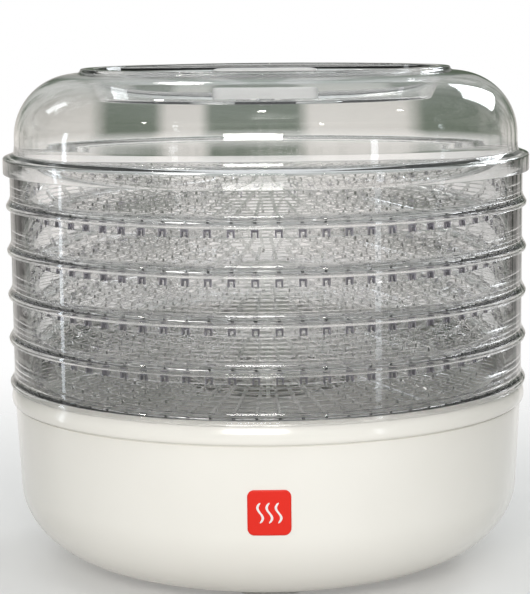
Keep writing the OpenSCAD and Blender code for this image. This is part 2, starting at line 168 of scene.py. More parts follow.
def turn(shape, outline, closed=True, skip=None, angle=even_angle):
    """Turns an outline of (radius, height) points about the Z axis."""
    count = len(outline)
    for i in range(count if closed else count - 1):
        (r0, z0), (r1, z1) = outline[i], outline[(i + 1) % count]
        for k in range(COLUMNS):
            if skip and skip(i, k):
                continue
            shape.face([
                around(r0, angle(k, r0), z0), around(r1, angle(k, r1), z1),
                around(r1, angle(k + 1, r1), z1), around(r0, angle(k + 1, r0), z0),
            ])


def plate(shape, radii, low, high, solid, angle=even_angle, open_out=False):
    """Flat plate of polar cells. solid(i, k) says whether cell i from the centre in column k is there."""
    bands = len(radii) - 1

    def there(i, k):
        return 0 <= i < bands and solid(i, k % COLUMNS)

    for i in range(bands):
        r0, r1 = radii[i], radii[i + 1]
        for k in range(COLUMNS):
            if not there(i, k):
                continue
            near0, near1 = (r0, angle(k, r0)), (r0, angle(k + 1, r0))
            far0, far1 = (r1, angle(k, r1)), (r1, angle(k + 1, r1))
            for z in (low, high):
                shape.face([around(*corner, z) for corner in (near0, far0, far1, near1)])
            sides = []
            if not there(i - 1, k) and r0 > 0:
                sides.append((near0, near1))
            if not there(i + 1, k) and not (open_out and i == bands - 1):
                sides.append((far0, far1))
            if not there(i, k - 1):
                sides.append((near0, far0))
            if not there(i, k + 1):
                sides.append((near1, far1))
            for a, b in sides:
                shape.face([around(*a, low), around(*b, low), around(*b, high), around(*a, high)])


def cylinder(shape, centre, r, low, high, sides=32):
    """Upright closed cylinder."""
    foot, head = ([around(r, TURN * k / sides, z, centre) for k in range(sides)] for z in (low, high))
    for k in range(sides):
        after = (k + 1) % sides
        shape.face([foot[k], foot[after], head[after], head[k]])
    shape.face(foot)
    shape.face(head)


def sweep(shape, centres, r, sides=6):
    """Round wire with closed ends along a list of centres."""
    rings = []
    for i, here in enumerate(centres):
        along = (centres[min(i + 1, len(centres) - 1)] - centres[max(i - 1, 0)]).normalized()
        side = along.cross(Vector((0, 0, 1))).normalized()
        up = side.cross(along)
        rings.append([here + r * (math.cos(TURN * k / sides) * side + math.sin(TURN * k / sides) * up)
                      for k in range(sides)])
    for a, b in zip(rings, rings[1:]):
        for k in range(sides):
            shape.face([a[k], a[(k + 1) % sides], b[(k + 1) % sides], b[k]])
    shape.face(rings[0])
    shape.face(rings[-1])


def place(piece, body, slot, *nodes):
    """Lets a piece ride on a body in the place of its nodes."""
    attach(piece, body)
    if nodes:
        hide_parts(*nodes)
    return piece


# ------------------------------------------------------------------ materials

def adder(tree):
    """Function that adds a node to a tree, with its inputs set or linked."""

    def add(kind, inputs=None, **settings):
        node = tree.nodes.new(kind)
        for key, value in settings.items():
            setattr(node, key, value)
        for key, value in (inputs or {}).items():
            if isinstance(value, bpy.types.NodeSocket):
                tree.links.new(value, node.inputs[key])
            else:
                node.inputs[key].default_value = value
        return node

    return add


def new_material(name):
    """A material with its shader, and a function that adds nodes to it."""
    material = bpy.data.materials.new(name)
    material.use_nodes = True
    return material, material.node_tree.nodes["Principled BSDF"], adder(material.node_tree)


def place_of(add, stretch=(1, 1, 1)):
    """Coordinates in metres, fixed to the piece."""
    at = add("ShaderNodeTexCoord")
    return add("ShaderNodeMapping", {"Vector": at.outputs["Object"], "Scale": stretch}).outputs[0]


def noise(add, where, scale, detail=3, distortion=0):
    inputs = {"Vector": where, "Scale": scale, "Detail": detail, "Distortion": distortion}
    return add("ShaderNodeTexNoise", inputs).outputs["Fac"]


def spread(add, value, low, high):
    """A 0..1 value spread from low to high."""
    return add("ShaderNodeMapRange", {"Value": value, "To Min": low, "To Max": high}).outputs[0]


def step_up(add, value, start, end):
    """0 up to start and 1 from end, with a soft way between."""
    inputs = {"Value": value, "From Min": start, "From Max": end}
    return add("ShaderNodeMapRange", inputs, interpolation_type="SMOOTHSTEP").outputs[0]


def calculate(add, operation, a, b):
    return add("ShaderNodeMath", {0: a, 1: b}, operation=operation).outputs[0]


def ramp(add, value, stops):
    """Colour that runs through (position, colour) stops as the value rises."""
    node = add("ShaderNodeValToRGB", {"Fac": value})
    while len(node.color_ramp.elements) < len(stops):
        node.color_ramp.elements.new(0.5)
    for element, (position, colour) in zip(node.color_ramp.elements, stops):
        element.position = position
        element.color = (*colour, 1)
    return node.outputs[0]


def tones(add, value, dark, light):
    """Drift between two tones."""
    return ramp(add, value, ((0.3, dark), (0.7, light)))


def link(material, output, socket):
    material.node_tree.links.new(output, socket)


def bump(material, shader, add, height, depth):
    """Raises the surface by depth metres where height is 1."""
    node = add("ShaderNodeBump", {"Height": height, "Distance": depth, "Strength": 1})
    link(material, node.outputs[0], shader.inputs["Normal"])


def moulded(name, dark, light, rough, scale=700, depth=0.004 * MM, coat=0, specular=0.5):
    """Opaque moulded plastic: a faint drift of colour, patchy gloss and fine skin texture."""
    material, shader, add = new_material(name)
    where = place_of(add)
    link(material, tones(add, noise(add, where, 9), dark, light), shader.inputs["Base Color"])
    link(material, spread(add, noise(add, where, 60, 5), rough[0], rough[1]), shader.inputs["Roughness"])
    shader.inputs["IOR"].default_value = 1.5
    shader.inputs["Specular IOR Level"].default_value = specular
    shader.inputs["Coat Weight"].default_value = coat
    shader.inputs["Coat Roughness"].default_value = 0.08
    bump(material, shader, add, noise(add, where, scale, 2), depth)
    return material


def clear_plastic(name, dark, light, rough, weight, ior):
    """Clear moulding: faint tint, light handling haze, and flow waves that bend what shows through."""
    material, shader, add = new_material(name)
    where = place_of(add)
    link(material, tones(add, noise(add, where, 14), dark, light), shader.inputs["Base Color"])
    haze = noise(add, place_of(add, (1, 1, 3)), 90, 6, 0.6)
    link(material, spread(add, haze, rough[0], rough[1]), shader.inputs["Roughness"])
    shader.inputs["Transmission Weight"].default_value = weight
    shader.inputs["IOR"].default_value = ior
    bump(material, shader, add, noise(add, place_of(add, (1, 1, 4)), 55, 2, 0.4), 0.006 * MM)
    return material


def mixed(add, factor, a, b, colour=False):
    """Mix of two numbers, or of two colours."""
    if colour:
        return add("ShaderNodeMix", {"Factor": factor, 6: a, 7: b}, data_type="RGBA").outputs[2]
    return add("ShaderNodeMix", {"Factor": factor, 2: a, 3: b}, data_type="FLOAT").outputs[0]


def shade_and_frost_notches(material):
    """Paints shade close around each notch of a tray's foot ring as a darker tint, and frosts the plastic
    there with a rougher surface.
    """
    shader, add = material.node_tree.nodes["Principled BSDF"], adder(material.node_tree)
    axes = add("ShaderNodeSeparateXYZ", {0: place_of(add)}).outputs
    angle = calculate(add, "ARCTAN2", axes["Y"], axes["X"])
    phase = calculate(add, "PINGPONG", calculate(add, "MULTIPLY", angle, NOTCHES / TURN), 0.5)
    beside = calculate(add, "GREATER_THAN", phase, 0.5 - SHADE_AND_FROST_REACH)
    low = calculate(add, "LESS_THAN", axes["Z"], TRAY_LOW.z + SHADE_AND_FROST_H)
    shaded_and_frosted = calculate(add, "MULTIPLY", beside, low)
    tint, haze = shader.inputs["Base Color"], shader.inputs["Roughness"]
    # Painted shade: the plastic around each notch takes a dark tint that stands in for the shade seen through
    # the foot ring
    link(material, mixed(add, shaded_and_frosted, tint.links[0].from_socket, NOTCH_PAINTED_SHADE, colour=True), tint)
    link(material, mixed(add, shaded_and_frosted, haze.links[0].from_socket, 0.5), haze)


def metal(name, dark, light, rough, grain=(1, 1, 1)):
    """Bare metal with a drawn or rolled grain."""
    material, shader, add = new_material(name)
    where = place_of(add, grain)
    value = noise(add, where, 400, 6)
    link(material, tones(add, value, dark, light), shader.inputs["Base Color"])
    link(material, spread(add, value, rough[0], rough[1]), shader.inputs["Roughness"])
    shader.inputs["Metallic"].default_value = 1
    bump(material, shader, add, value, 0.01 * MM)
    return material


def grainy(name, dark, light, rough, scale, depth):
    """Matt stuff with a visible grain: mica, ceramic, rubber, woven sleeve."""
    material, shader, add = new_material(name)
    where = place_of(add)
    value = noise(add, where, scale, 8, 0.3)
    link(material, tones(add, value, dark, light), shader.inputs["Base Color"])
    link(material, spread(add, value, rough[0], rough[1]), shader.inputs["Roughness"])
    bump(material, shader, add, value, depth)
    return material


# Painted shade and frosting around the trays' notches, reaching this share of their spacing from a notch's
# middle
SHADE_AND_FROST_REACH = 0.16
SHADE_AND_FROST_H = 4.6 * MM
# Painted shade: the dark tint painted into the plastic around each notch
NOTCH_PAINTED_SHADE = (0.34, 0.32, 0.39, 1)

HOUSING = moulded("housing_white", (0.86, 0.84, 0.79), (0.90, 0.88, 0.835), (0.13, 0.22), coat=0.5)
CLEAR = clear_plastic("clear_plastic", (0.986, 0.984, 0.985), (1.0, 0.998, 0.999), (0, 0.04), 1, 1.43)
shade_and_frost_notches(CLEAR)
LID_CLEAR = clear_plastic("lid_clear_plastic", (0.965, 0.97, 0.965), (0.992, 0.996, 0.992), (0, 0.04), 1,
                          1.49)
FROSTED = clear_plastic("frosted_plastic", (0.86, 0.85, 0.85), (0.93, 0.92, 0.92), (0.4, 0.6), 0.35, 1.49)
RED = moulded("badge_red", (0.76, 0.02, 0.01), (0.84, 0.028, 0.014), (0.35, 0.45), 900, 0.003 * MM, 0, 0.25)
BADGE_WHITE = moulded("badge_white", (0.88, 0.87, 0.85), (0.93, 0.92, 0.9), (0.3, 0.4))
FOOT_GREY = grainy("foot_grey", (0.60, 0.60, 0.585), (0.70, 0.70, 0.685), (0.5, 0.65), 900, 0.02 * MM)
ALUMINIUM = metal("aluminium_sheet", (0.72, 0.73, 0.74), (0.86, 0.87, 0.88), (0.22, 0.4), (1, 12, 1))
STEEL = metal("steel", (0.52, 0.52, 0.53), (0.70, 0.70, 0.71), (0.25, 0.45))
COIL_WIRE = metal("coil_wire", (0.25, 0.22, 0.21), (0.45, 0.41, 0.38), (0.35, 0.6))
MICA = grainy("mica", (0.42, 0.31, 0.18), (0.66, 0.55, 0.40), (0.35, 0.6), 240, 0.03 * MM)
CERAMIC = grainy("ceramic", (0.78, 0.74, 0.65), (0.90, 0.87, 0.80), (0.5, 0.7), 1500, 0.02 * MM)
PHENOLIC = moulded("black_plastic", (0.03, 0.03, 0.032), (0.06, 0.06, 0.062), (0.3, 0.45), 1200, 0.01 * MM)
GLAND = moulded("gland_plastic", (0.80, 0.79, 0.75), (0.87, 0.86, 0.82), (0.35, 0.5))
SLEEVE = grainy("sleeve_cream", (0.62, 0.59, 0.50), (0.82, 0.79, 0.70), (0.7, 0.9), 2500, 0.05 * MM)
LEAD_BROWN = moulded("lead_brown", (0.20, 0.09, 0.04), (0.27, 0.13, 0.06), (0.35, 0.5))
LEAD_BLUE = moulded("lead_blue", (0.05, 0.13, 0.33), (0.08, 0.19, 0.42), (0.35, 0.5))

CARRIED_OVER = {
    "heater_guard": HOUSING, "reflector_dish": ALUMINIUM, "mica_board_long": MICA, "mica_board_cross": MICA,
    "ceramic_bushes": CERAMIC, "thermostat": PHENOLIC, "thermal_fuse": STEEL, "terminal_block": CERAMIC,
    "live_lead": LEAD_BROWN, "link_lead": SLEEVE, "fuse_lead": SLEEVE, "neutral_lead": LEAD_BLUE,
    "cord_gland": GLAND, "housing_screws": STEEL, "vent_clip": STEEL,
}


def dress_carried_over():
    """Gives each CAD node that stays in view its finished material."""
    for name, material in CARRIED_OVER.items():
        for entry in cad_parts[name].material_slots:
            entry.material = material


# ----------------------------------------------------------------- base pieces

BOWL_T = 2.5 * MM
BOWL_FLAT_R = 92.4 * MM
BOWL_SIDE_R = SEAM_R - 2.4 * MM
BOWL_CURVE_TOP = BOWL_Z + 49.6 * MM
AIR_SLOTS = 24
AIR_SLOT_FROM = 26 * MM
AIR_SLOT_TO = 52 * MM
AIR_SLOT_W = 4 * MM

# Four screws hold the housings together: towers on the bowl's floor meet posts under the deck.
# TOWER_TOP and WELL_ROOF are heights above the ground
SCREWS = 4
TOWER_AT = 84 * MM
TOWER_R = 6.5 * MM
TOWER_TOP = 70 * MM
WELL_ROOF = 58 * MM
SCREW_WELL_R = 4.3 * MM
SCREW_HOLE_R = 2.1 * MM
POST_R = 6 * MM

# The deck's opening, with the rebate that the grille over the heater lies in
OPENING_R = 60 * MM
GUARD_SEAT_R = 64.2 * MM
GUARD_SEAT_D = 1.5 * MM


def side_r(z):
    """Radius of the bowl's outer side at height z."""
    share = (z - BOWL_CURVE_TOP) / (SEAM_Z - BOWL_CURVE_TOP)
    return BOWL_SIDE_R + (SEAM_R - BOWL_SIDE_R) * share


def bowl_curve(inset, steps=40):
    """Curved bottom of the bowl, drawn in by inset."""
    corners = []
    for s in range(steps + 1):
        a = math.pi / 2 * s / steps
        corners.append((
            BOWL_FLAT_R + (BOWL_SIDE_R - inset - BOWL_FLAT_R) * math.sin(a),
            BOWL_CURVE_TOP - (BOWL_CURVE_TOP - BOWL_Z - inset) * math.cos(a),
            0,
        ))
    return corners


def subtract(piece, cutters):
    """Cuts closed shapes out of a piece, for good."""
    cutter = cutters.build(piece.name + "_cutter", piece.data.materials[0])
    modifier = piece.modifiers.new("cut", "BOOLEAN")
    modifier.object = cutter
    modifier.operation = "DIFFERENCE"
    modifier.solver = "EXACT"
    graph = bpy.context.evaluated_depsgraph_get()
    mesh = bpy.data.meshes.new_from_object(piece.evaluated_get(graph))
    piece.modifiers.clear()
    piece.data = mesh
    bpy.data.objects.remove(cutter)
    mesh.set_sharp_from_angle(angle=math.radians(SHARP))


def box_shape(shape, low, high, spin):
    """Closed box between two corners, turned about Z by spin."""
    xs, ys, zs = zip(low, high)
    turned = Matrix.Rotation(spin, 3, "Z")
    corner = {(i, j, k): turned @ Vector((xs[i], ys[j], zs[k]))
              for i in (0, 1) for j in (0, 1) for k in (0, 1)}
    for axis in range(3):
        for side in (0, 1):
            loop = []
            for p, q in ((0, 0), (0, 1), (1, 1), (1, 0)):
                key = [p, q]
                key.insert(axis, side)
                loop.append(corner[tuple(key)])
            shape.face(loop)


def screw_places():
    return [around(TOWER_AT, TURN * (i + 0.5) / SCREWS, 0) for i in range(SCREWS)]


def make_bowl():
    """White lower housing: polished outside, with air slots and screw wells in its floor."""
    shape = Shape()
    inner = [(r, z, 0) for r, z, _ in reversed(bowl_curve(BOWL_T))]
    lip = [(SEAM_R, SEAM_Z, 0.5 * MM), (SEAM_R - BOWL_T, SEAM_Z, 0.3 * MM)]
    corners = [(0, BOWL_Z, 0)] + bowl_curve(0) + lip + inner + [(0, BOWL_Z + BOWL_T, 0)]
    turn(shape, soften(corners), closed=False)
    bowl = shape.build("bowl_shell", HOUSING)

    cutters = Shape()
    low, high = BOWL_Z - MM, BOWL_Z + BOWL_T + MM
    for i in range(AIR_SLOTS):
        box_shape(cutters, (AIR_SLOT_FROM, -AIR_SLOT_W / 2, low), (AIR_SLOT_TO, AIR_SLOT_W / 2, high),
                  TURN * (i + 0.5) / AIR_SLOTS)
    for at in screw_places():
        cylinder(cutters, at, SCREW_WELL_R, low, high)
    subtract(bowl, cutters)
    return place(bowl, "base", "housing_white", "base_bowl")


def make_towers():
    """Screw towers on the bowl's floor, each with a well from below and a screw's hole in its top."""
    shape = Shape()
    sides = 32
    foot = BOWL_Z + BOWL_T
    outline = [(TOWER_R, foot), (TOWER_R, TOWER_TOP), (SCREW_HOLE_R, TOWER_TOP), (SCREW_HOLE_R, WELL_ROOF),
               (SCREW_WELL_R, WELL_ROOF), (SCREW_WELL_R, foot)]
    for centre in screw_places():
        for (r0, z0), (r1, z1) in zip(outline, outline[1:] + outline[:1]):
            for k in range(sides):
                a, b = TURN * k / sides, TURN * (k + 1) / sides
                shape.face([around(r0, a, z0, centre), around(r1, a, z1, centre),
                            around(r1, b, z1, centre), around(r0, b, z0, centre)])
    return place(shape.build("screw_towers", HOUSING), "base", "housing_white")


def make_deck():
    """White upper housing: the band under the trays, the deck and its posts."""
    inner_r = SEAM_R - BOWL_T
    tongue_r = inner_r - 0.2 * MM
    tongue_low = SEAM_Z - 5 * MM
    deck_low = BAND_TOP - 16.2 * MM
    deck_top = deck_low + 3 * MM
    shape = Shape()
    corners = [
        (OPENING_R, deck_low, 0.3 * MM), (tongue_r - BOWL_T, deck_low, 0.5 * MM),
        (tongue_r - BOWL_T, tongue_low, 0.3 * MM), (tongue_r, tongue_low, 0.3 * MM), (tongue_r, SEAM_Z, 0),
        (SEAM_R - 0.7 * MM, SEAM_Z, 0), (SEAM_R - 0.5 * MM, SEAM_Z + 0.5 * MM, 0.2 * MM),
        (BAND_R - 0.5 * MM, SEAM_Z + 1.2 * MM, 1.2 * MM), (BAND_R, SEAM_Z + 4 * MM, 2 * MM),
        (BAND_R - 0.4 * MM, SEAM_Z + 7 * MM, 2 * MM), (BAND_R - 1.3 * MM, SEAM_Z + 10 * MM, 2 * MM),
        (SEAM_R + 0.1 * MM, BAND_TOP - 2 * MM, 1 * MM), (SEAM_R - 0.2 * MM, BAND_TOP, 0.6 * MM),
        (inner_r + 0.2 * MM, BAND_TOP, 0.5 * MM), (inner_r - 0.2 * MM, deck_top, 2 * MM),
        (GUARD_SEAT_R, deck_top, 0.3 * MM), (GUARD_SEAT_R, deck_top - GUARD_SEAT_D, 0.1 * MM),
        (OPENING_R, deck_top - GUARD_SEAT_D, 0.3 * MM),
    ]
    turn(shape, soften(corners))
    for at in screw_places():
        cylinder(shape, at, POST_R, TOWER_TOP + MM, deck_low)
    return place(shape.build("deck_housing", HOUSING), "base", "housing_white", "top_housing")


def make_coil():
    """Open helix of resistance wire in three rings, with its tails."""
    shape = Shape()
    coil_r = 2.5 * MM
    wire_r = 0.45 * MM
    helix_r = coil_r - wire_r
    pitch = 2.2 * MM
    per_turn = 12
    tail_r = MM
    level = COIL_HIGH.z - coil_r
    gap = math.radians(10)
    inner, middle, outer = 18 * MM, 30 * MM, 42 * MM
    for ring in (inner, middle, outer):
        steps = per_turn * round(ring * (TURN - 2 * gap) / pitch)
        centres = []
        for s in range(steps + 1):
            a = gap + (TURN - 2 * gap) * s / steps
            b = TURN * s / per_turn
            centres.append(Vector(around(ring + helix_r * math.cos(b), a, level + helix_r * math.sin(b))))
        sweep(shape, centres, wire_r)
    for start, end, a in ((inner, middle, -gap), (middle, outer, gap)):
        sweep(shape, [Vector(around(r, a, level)) for r in (start, end)], wire_r * 1.6, 8)
    for r, a in ((inner, gap), (outer, -gap)):
        cylinder(shape, around(r, a, 0), tail_r, COIL_LOW.z, level, 12)
    return place(shape.build("coil_helix", COIL_WIRE), "base", "coil_wire", "heater_coil")


def make_foot(node):
    """Oblong foot with a rounded tread."""
    low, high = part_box(node)
    centre = (low + high) / 2
    half = Vector((high.x - low.x, high.y - low.y)) / 2
    along_x = half.x > half.y
    round_r = min(half)
    straight = max(half) - round_r
    top = BOWL_Z + 0.2 * MM
    profile = [(0, low.z), (round_r - 1.6 * MM, low.z), (round_r - 0.6 * MM, low.z + 0.3 * MM),
               (round_r - 0.1 * MM, low.z + 1.2 * MM), (round_r, low.z + 2.4 * MM), (round_r, top), (0, top)]
    sides = 48
    shape = Shape()

    def at(r, z, k):
        """Point k + 1/2 around the oblong: a circle whose two halves are drawn apart."""
        a = TURN * (k + 0.5) / sides
        x, y = r * math.cos(a) + math.copysign(straight, math.cos(a)), r * math.sin(a)
        if along_x:
            return (centre.x + x, centre.y + y, z)
        return (centre.x - y, centre.y + x, z)

    for (r0, z0), (r1, z1) in zip(profile, profile[1:]):
        for k in range(sides):
            shape.face([at(r0, z0, k), at(r1, z1, k), at(r1, z1, k + 1), at(r0, z0, k + 1)])
    return place(shape.build(node + "_pad", FOOT_GREY, 40), "base", "foot_grey", node)


# ---------------------------------------------------------------------- badge

BADGE_Z = (BADGE_LOW.z + BADGE_HIGH.z) / 2
BADGE_W = BADGE_HIGH.x - BADGE_LOW.x
BADGE_H = BADGE_HIGH.z - BADGE_LOW.z
BADGE_T = 0.8 * MM


def on_front(x, z, proud):
    """Point on the bowl's front, x across and z above the badge's middle, standing proud of the surface."""
    r = side_r(BADGE_Z + z) + proud
    return (x, -math.sqrt(r * r - x * x), BADGE_Z + z)


def rounded_square(u, v, corner):
    """Maps -1..1 squares to the badge's face, with rounded corners."""
    x, z = u * BADGE_W / 2, v * BADGE_H / 2
    over_x, over_z = abs(x) - (BADGE_W / 2 - corner), abs(z) - (BADGE_H / 2 - corner)
    if over_x > 0 and over_z > 0:
        a, b = over_x / corner, over_z / corner
        x = math.copysign(BADGE_W / 2 - corner + corner * a * math.sqrt(1 - b * b / 2), x)
        z = math.copysign(BADGE_H / 2 - corner + corner * b * math.sqrt(1 - a * a / 2), z)
    return x, z


def make_badge():
    """Plain red plate with rounded corners and a soft edge, curved like the bowl."""
    shape = Shape()
    cells = 36
    corner = 4 * MM
    edge = 0.5 * MM
    edge_from = 0.55 * BADGE_T

    def rim(i, j, proud):
        x, z = rounded_square(2 * i / cells - 1, 2 * j / cells - 1, corner)
        return on_front(x, z, proud)

    def front(i, j):
        x, z = rounded_square(2 * i / cells - 1, 2 * j / cells - 1, corner)
        return on_front(x * (1 - 2 * edge / BADGE_W), z * (1 - 2 * edge / BADGE_H), BADGE_T)

    for i in range(cells):
        for j in range(cells):
            cell = [(i, j), (i + 1, j), (i + 1, j + 1), (i, j + 1)]
            shape.face([front(*c) for c in cell])
            shape.face([rim(*c, 0) for c in cell])
    border = ([(i, 0) for i in range(cells)] + [(cells, j) for j in range(cells)]
              + [(i, cells) for i in range(cells, 0, -1)] + [(0, j) for j in range(cells, 0, -1)])
    for a, b in zip(border, border[1:] + border[:1]):
        shape.face([rim(*a, 0), rim(*b, 0), rim(*b, edge_from), rim(*a, edge_from)])
        shape.face([rim(*a, edge_from), rim(*b, edge_from), front(*b), front(*a)])
    return place(shape.build("badge_plate", RED, 60), "base", "badge_red", "badge")


def make_badge_waves():
    """Three raised wavy lines that stand for warm air."""
    shape = Shape()
    steps = 28
    length = 12 * MM
    spacing = 5.2 * MM
    swing = 1.5 * MM
    half_w = 0.75 * MM
    section = ((-1, -0.05 * MM), (-0.75, 0.18 * MM), (0, 0.28 * MM), (0.75, 0.18 * MM), (1, -0.05 * MM))
    for offset in (-spacing, 0, spacing):
        rows = []
        for s in range(steps + 1):
            t = s / steps
            x = offset + swing * math.sin(TURN * t)
            z = length * (t - 0.5)
            half = half_w * min(1, 3.5 * math.sqrt(t * (1 - t)) + 0.15)
            rows.append([on_front(x + half * side, z, BADGE_T + proud) for side, proud in section])
        for a, b in zip(rows, rows[1:]):
            for k in range(len(section) - 1):
                shape.face([a[k], a[k + 1], b[k + 1], b[k]])
            shape.face([a[0], a[-1], b[-1], b[0]])
        shape.face(rows[0])
        shape.face(rows[-1])
    return place(shape.build("badge_waves", BADGE_WHITE, 60), "base", "badge_red")


# ---------------------------------------------------------------------- trays

HUB_R = 20 * MM
LATTICE_R = 149 * MM
RING_STEP = 9.9 * MM
RING_W = 1.8 * MM
RIB_W = 1.8 * MM
NOTCH_W = 2.4 * MM
NOTCH_H = 3.2 * MM
FOOT_OUT_R = WALL_R - 6.3 * MM
FOOT_IN_R = FOOT_OUT_R - 2.8 * MM
TOE = 0.3 * MM

# Inside HALVE_R only every second rib goes on, and inside QUARTER_R only every fourth
HALVE_R = 88 * MM
QUARTER_R = 45 * MM


def tray_angle(k, r):
    """Column edges of a tray: in each notch's share of the circle, column 0 is the rib or the notch."""
    sector, part = divmod(k, PER_NOTCH)
    wide = NOTCH_W if r > LATTICE_R else RIB_W
    half = min(wide / 2 / max(r, MM), math.radians(1.5))
    centre = TURN * (sector + 0.5) / NOTCHES
    rest = TURN / NOTCHES - 2 * half
    if part == 0:
        return centre - half
    return centre + half + rest * (part - 1) / (PER_NOTCH - 1)


def lattice_radii():
    """Where the lattice's bands start and end: hub, gap, ring, gap, ring and so on."""
    radii = [0, HUB_R]
    r = HUB_R + RING_STEP
    while r < LATTICE_R - RING_STEP / 2:
        radii += [r - RING_W / 2, r + RING_W / 2]
        r += RING_STEP
    return radii + [LATTICE_R - 1.2 * MM, LATTICE_R]


def lattice_solid(radii):
    """Which cells of the lattice are there: the rings, and fewer ribs towards the centre."""
    last = len(radii) - 2

    def solid(i, k):
        if i % 2 == 0 or i == last:
            return True
        every = 4 if radii[i] < QUARTER_R else 2 if radii[i] < HALVE_R else 1
        return k % (PER_NOTCH * every) == 0

    return solid


def tray_mesh():
    """The lowest tray: lattice, wall, flared collar and notched foot ring in one skin."""
    shape = Shape()
    radii = lattice_radii()
    floor = SEAT_Z + FLOOR_T
    plate(shape, radii, SEAT_Z, floor, lattice_solid(radii), tray_angle, open_out=True)
    top = SEAT_Z + TRAY_H
    inner = WALL_R - WALL_T
    foot = SEAT_Z - FOOT_RING_H
    corners = [
        (LATTICE_R, floor, 0), (inner - 0.2 * MM, floor, 1.4 * MM), (inner, top, 0.45 * MM),
        (WALL_R, top, 0.45 * MM), (WALL_R, SEAT_Z + 4.2 * MM, 2.5 * MM),
        (COLLAR_R - 0.95 * MM, SEAT_Z + 0.9 * MM, 1.5 * MM), (COLLAR_R, SEAT_Z - 0.7 * MM, 0.5 * MM),
        (COLLAR_R - 0.35 * MM, SEAT_Z - 2.5 * MM, 0.6 * MM), (WALL_R + 0.4 * MM, SEAT_Z - 2.5 * MM, 0.3 * MM),
        (WALL_R + 0.4 * MM, SEAT_Z, 0.3 * MM), (FOOT_OUT_R, SEAT_Z, 0.5 * MM),
    ]
    notch_top = foot + NOTCH_H
    outer_top = (FOOT_OUT_R, notch_top)
    inner_top = (FOOT_IN_R, notch_top)
    turn(shape, soften(corners, closed=False) + [outer_top], closed=False, angle=tray_angle)
    toe = [outer_top, (FOOT_OUT_R, foot + TOE), (FOOT_OUT_R - TOE, foot),
           (FOOT_IN_R + TOE, foot), (FOOT_IN_R, foot + TOE), inner_top]
    turn(shape, toe, closed=False, skip=lambda i, k: k % PER_NOTCH == 0, angle=tray_angle)
    turn(shape, [outer_top, inner_top], closed=False, skip=lambda i, k: k % PER_NOTCH != 0, angle=tray_angle)
    for k in range(COLUMNS):
        if k % PER_NOTCH in (0, 1):
            shape.face([around(r, tray_angle(k, r), z) for r, z in toe])
    turn(shape, [inner_top, (FOOT_IN_R, SEAT_Z), (LATTICE_R, SEAT_Z)], closed=False, angle=tray_angle)
    return shape


def make_trays():
    """Five trays that share one mesh."""
    first = tray_mesh().build("tray_5_clear", CLEAR)
    place(first, "tray_5", "clear_plastic", "tray_5")
    for n in range(1, TRAY_COUNT):
        tray = bpy.data.objects.new(f"tray_{n}_clear", first.data)
        bpy.context.scene.collection.objects.link(tray)
        tray.location.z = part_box(f"tray_{n}")[0].z - TRAY_LOW.z
        place(tray, f"tray_{n}", "clear_plastic", f"tray_{n}")


# ------------------------------------------------------------------------ lid

EDGE_R = 39 * MM
DOME_R = SKIRT_R - 6.7 * MM
ARC_R = DOME_R - 0.6 * MM - EDGE_R
RING_H = 3 * MM
PLATEAU_Z = LID_HIGH.z - RING_H
ARC_Z = PLATEAU_Z - EDGE_R
RING_R = ARC_R - 2.3 * MM
WELL_Z = DISC_LOW.z - 0.3 * MM
WELL_R = RING_R - 13.9 * MM
WELL_TOP_R = WELL_R + 5.2 * MM
WELL_EDGE_R = WELL_R - 4 * MM

# The vent's openings, in the second band from the pivot of both the well's floor and the disc
VENT_R = (34 * MM, 76 * MM)
VENT_BAND = 1
VENTS = 8
VENT_COLUMNS = COLUMNS // VENTS
VENT_ANGLE = 20
PIVOT_R = 4 * MM
PIVOT_HOLE_R = 4.06 * MM

# The lug stands at the back of the well's floor. The disc's rim has a notch for it, as wide as the turn.
# Angles are in degrees
LUG_R = (84 * MM, 88 * MM)
LUG_H = 2.2 * MM
LUG_AT = 90
TURN_ANGLE = 22.5
LUG_ROOM = 2.4


def in_vent(k):
    """Whether column k is inside a vent opening."""
    middle = (k % VENT_COLUMNS + 0.5) * 360 / COLUMNS
    return abs(middle - 180 / VENTS) < VENT_ANGLE / 2


def is_lug(k):
    """Whether column k is one of the two that hold the lug."""
    return abs((k + 0.5) * 360 / COLUMNS - LUG_AT) < 360 / COLUMNS


